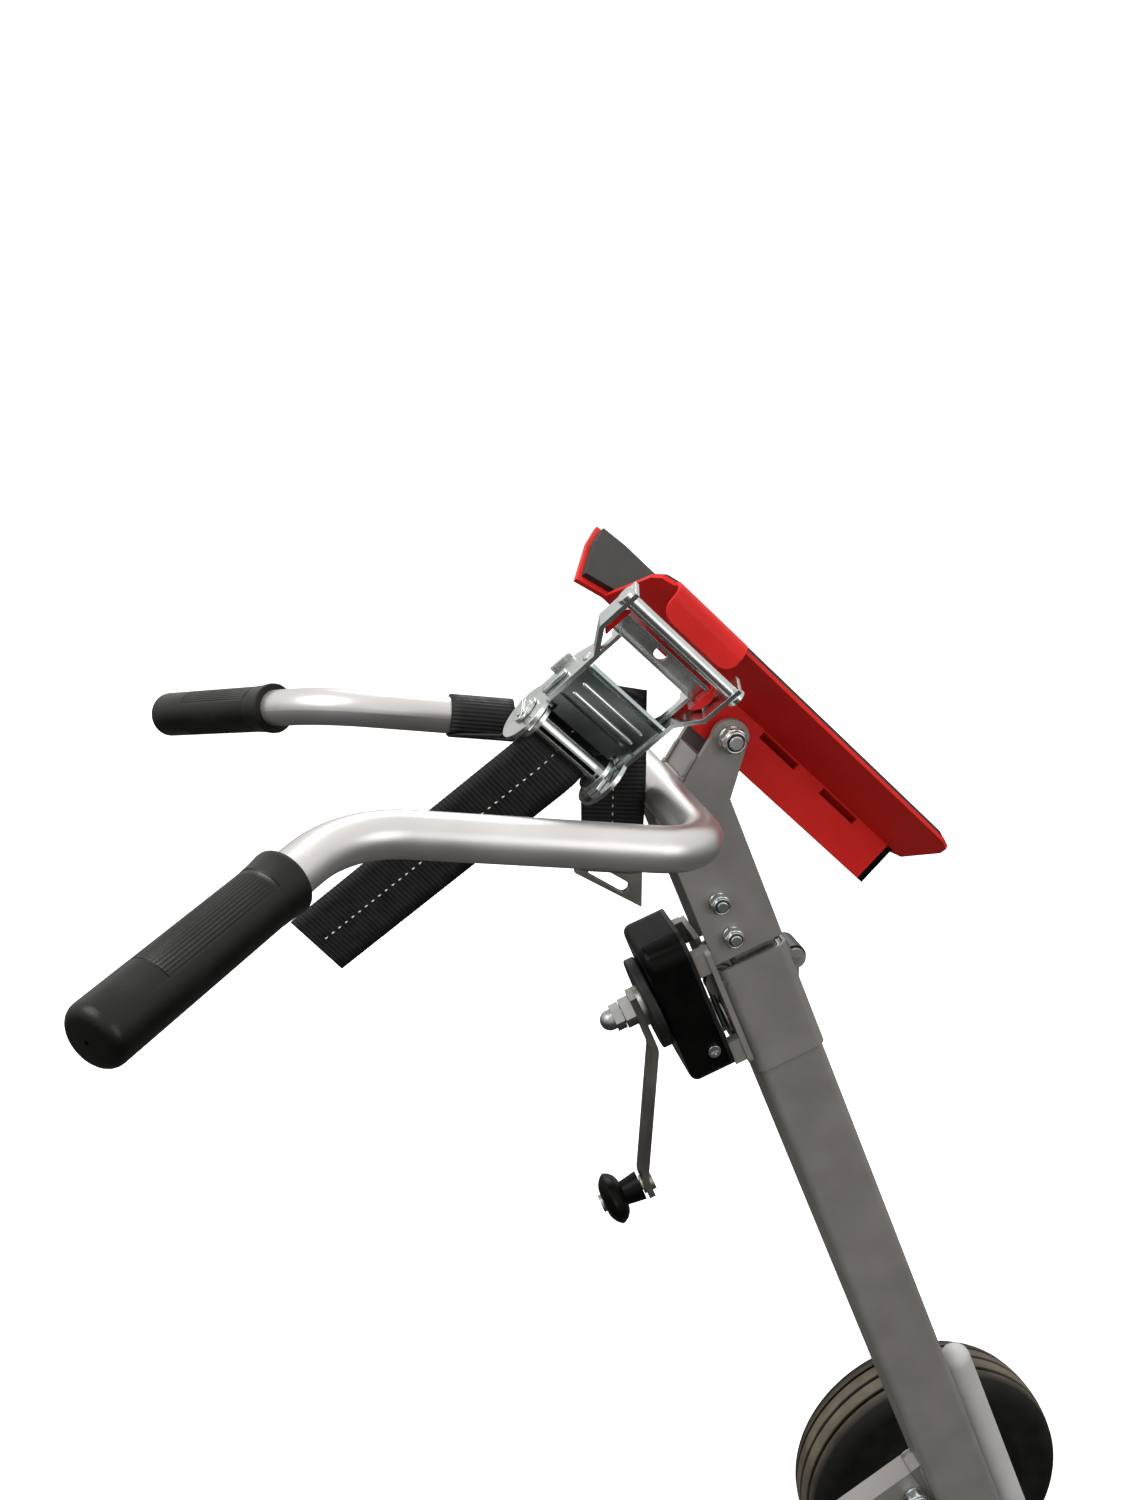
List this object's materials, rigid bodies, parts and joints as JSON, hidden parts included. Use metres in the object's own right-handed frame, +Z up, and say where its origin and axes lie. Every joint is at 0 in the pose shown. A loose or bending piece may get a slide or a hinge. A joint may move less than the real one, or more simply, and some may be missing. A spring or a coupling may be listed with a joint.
{
  "type": "gas cylinder trolley",
  "caption": "Wheeled gas cylinder trolley with a leaning telescopic mast, hand winch, swinging V cradle, ratchet strap, handlebar and rear castor.",
  "frame": {"origin": "on the floor under the middle of the whole trolley's footprint box", "axes": "+X to the operator's right, +Y forward to the cylinder side, +Z up"},
  "size_m": [0.6002, 0.8202, 1.0875],
  "materials": {
    "grey_paint": "satin warm grey paint",
    "silver_tube": "satin silver tube",
    "zinc": "bright zinc plate",
    "steel": "plain machined steel",
    "red_paint": "glossy red powder coat",
    "black_plastic": "moulded black plastic",
    "black_paint": "black paint on steel",
    "nylon": "natural nylon",
    "black_rubber": "matt black rubber",
    "tyre": "matt black tyre rubber",
    "webbing": "woven black webbing"
  },
  "bodies": {
    "frame": {"outer_mast": "grey_paint", "mast_collar": "grey_paint", "axle_tube": "silver_tube", "wheel_axle": "steel", "axle_caps": "zinc", "cylinder_rest_tube": "silver_tube", "strut_tongue": "grey_paint", "support_strut": "grey_paint", "strut_bolts": "zinc", "castor_plate": "grey_paint", "slide_liner": "nylon", "winch_mount": "grey_paint", "winch_base": "black_paint", "winch_cover": "black_plastic", "cover_screws": "zinc", "lift_rope": "steel", "guide_bracket": "grey_paint", "roller_pins": "steel"},
    "wheel right": {"tyre_right": "tyre", "rim_right": "zinc"},
    "wheel left": {"tyre_left": "tyre", "rim_left": "zinc"},
    "castor swivel": {"castor_housing": "zinc", "castor_axle": "zinc"},
    "castor roll": {"castor_wheel": "black_rubber"},
    "lift": {"inner_mast": "steel", "slide_shoe": "nylon", "fork_head": "grey_paint", "fork_bolts": "zinc", "handlebar": "silver_tube", "grip_right": "black_rubber", "grip_left": "black_rubber", "strap_eye": "silver_tube", "buckle_base": "zinc", "strap_rivet": "zinc", "strap_tail": "webbing", "strap_hang": "webbing", "strap_loop": "webbing"},
    "cradle": {"cradle_beam": "red_paint", "beam_end_cap": "black_plastic", "pivot_bush": "steel", "cradle_plate": "red_paint", "cradle_liners": "black_rubber"},
    "crank": {"crank_shaft": "steel", "load_ratchet": "steel", "brake_disc": "black_paint", "crank_arm": "zinc", "crank_nuts": "zinc", "knob_pin": "zinc"},
    "knob": {"crank_knob": "black_plastic"},
    "drum": {"rope_drum": "steel", "drum_gear": "steel"},
    "pulley": {"rope_pulley": "steel"},
    "guide": {"guide_roller": "black_plastic"},
    "pawl": {"load_pawl": "steel"},
    "spindle": {"buckle_spindle": "zinc", "tooth_discs": "zinc"},
    "buckle lever": {"buckle_handle": "zinc"},
    "release": {"release_slide": "zinc"},
    "lock": {"lock_slide": "zinc"}
  },
  "joints": [
    {"name": "wheel right spin", "type": "hinge", "parent": "frame", "child": "wheel right", "pos_m": [0, 0.28, 0.13], "axis": [1, 0, 0], "continuous": true},
    {"name": "wheel left spin", "type": "hinge", "parent": "frame", "child": "wheel left", "pos_m": [0, 0.28, 0.13], "axis": [1, 0, 0], "continuous": true},
    {"name": "castor turn", "type": "hinge", "parent": "frame", "child": "castor swivel", "pos_m": [0, -0.082, 0.09], "axis": [0, 0, 1], "continuous": true},
    {"name": "castor spin", "type": "hinge", "parent": "castor swivel", "child": "castor roll", "pos_m": [0, -0.11, 0.04], "axis": [1, 0, 0], "continuous": true},
    {"name": "mast lift", "type": "slide", "parent": "frame", "child": "lift", "axis": [0, -0.3795, 0.9252], "range_m": [0, 0.3]},
    {"name": "drum turn", "type": "hinge", "parent": "frame", "child": "drum", "pos_m": [0, 0.02453, 0.7529], "axis": [0, 0.9252, 0.3795], "range_deg": [-1, 1110]},
    {"name": "crank turn", "type": "hinge", "parent": "frame", "child": "crank", "pos_m": [0, 0.01172, 0.78412], "axis": [0, -0.9252, -0.3795], "range_deg": [-1, 2218.9]},
    {"name": "knob spin", "type": "hinge", "parent": "crank", "child": "knob", "pos_m": [0, 0.06371, 0.65737], "axis": [0, -0.9252, -0.3795], "continuous": true},
    {"name": "pulley turn", "type": "hinge", "parent": "frame", "child": "pulley", "pos_m": [0, -0.01252, 0.77526], "axis": [1, 0, 0], "range_deg": [-1, 1810.3]},
    {"name": "guide roller turn", "type": "hinge", "parent": "frame", "child": "guide", "pos_m": [0, 0.04393, 0.78544], "axis": [-1, 0, 0], "range_deg": [-1, 1910.9]},
    {"name": "load pawl swing", "type": "hinge", "parent": "frame", "child": "pawl", "pos_m": [-0.018, -0.00421, 0.82298], "axis": [0, -0.9252, -0.3795], "range_deg": [0, 12], "stiffness_Nm_per_rad": 0.02, "springref_deg": -17.19},
    {"name": "cradle swing", "type": "hinge", "parent": "lift", "child": "cradle", "pos_m": [0, -0.01409, 0.95512], "axis": [-1, 0, 0], "range_deg": [-2, 20]},
    {"name": "spindle turn", "type": "hinge", "parent": "lift", "child": "spindle", "pos_m": [0.058, -0.13257, 0.96646], "axis": [0, 0.7278, -0.6858], "continuous": true},
    {"name": "buckle lever", "type": "hinge", "parent": "lift", "child": "buckle lever", "pos_m": [0.058, -0.13257, 0.96646], "axis": [0, 0.7278, -0.6858], "range_deg": [0, 55]},
    {"name": "release pull", "type": "slide", "parent": "buckle lever", "child": "release", "axis": [0.3173, 0.6504, 0.6902], "range_m": [0, 0.005], "stiffness_N_per_m": 300, "springref_m": -0.008},
    {"name": "lock pull", "type": "slide", "parent": "lift", "child": "lock", "axis": [0.3173, 0.6504, 0.6902], "range_m": [0, 0.004], "stiffness_N_per_m": 300, "springref_m": -0.008}
  ],
  "couplings": [
    {"joint": "drum turn", "follows": "mast lift", "rad_per_m": 64.516},
    {"joint": "crank turn", "follows": "mast lift", "rad_per_m": 129.03},
    {"joint": "pulley turn", "follows": "mast lift", "rad_per_m": 105.26},
    {"joint": "guide roller turn", "follows": "mast lift", "rad_per_m": 111.11}
  ]
}
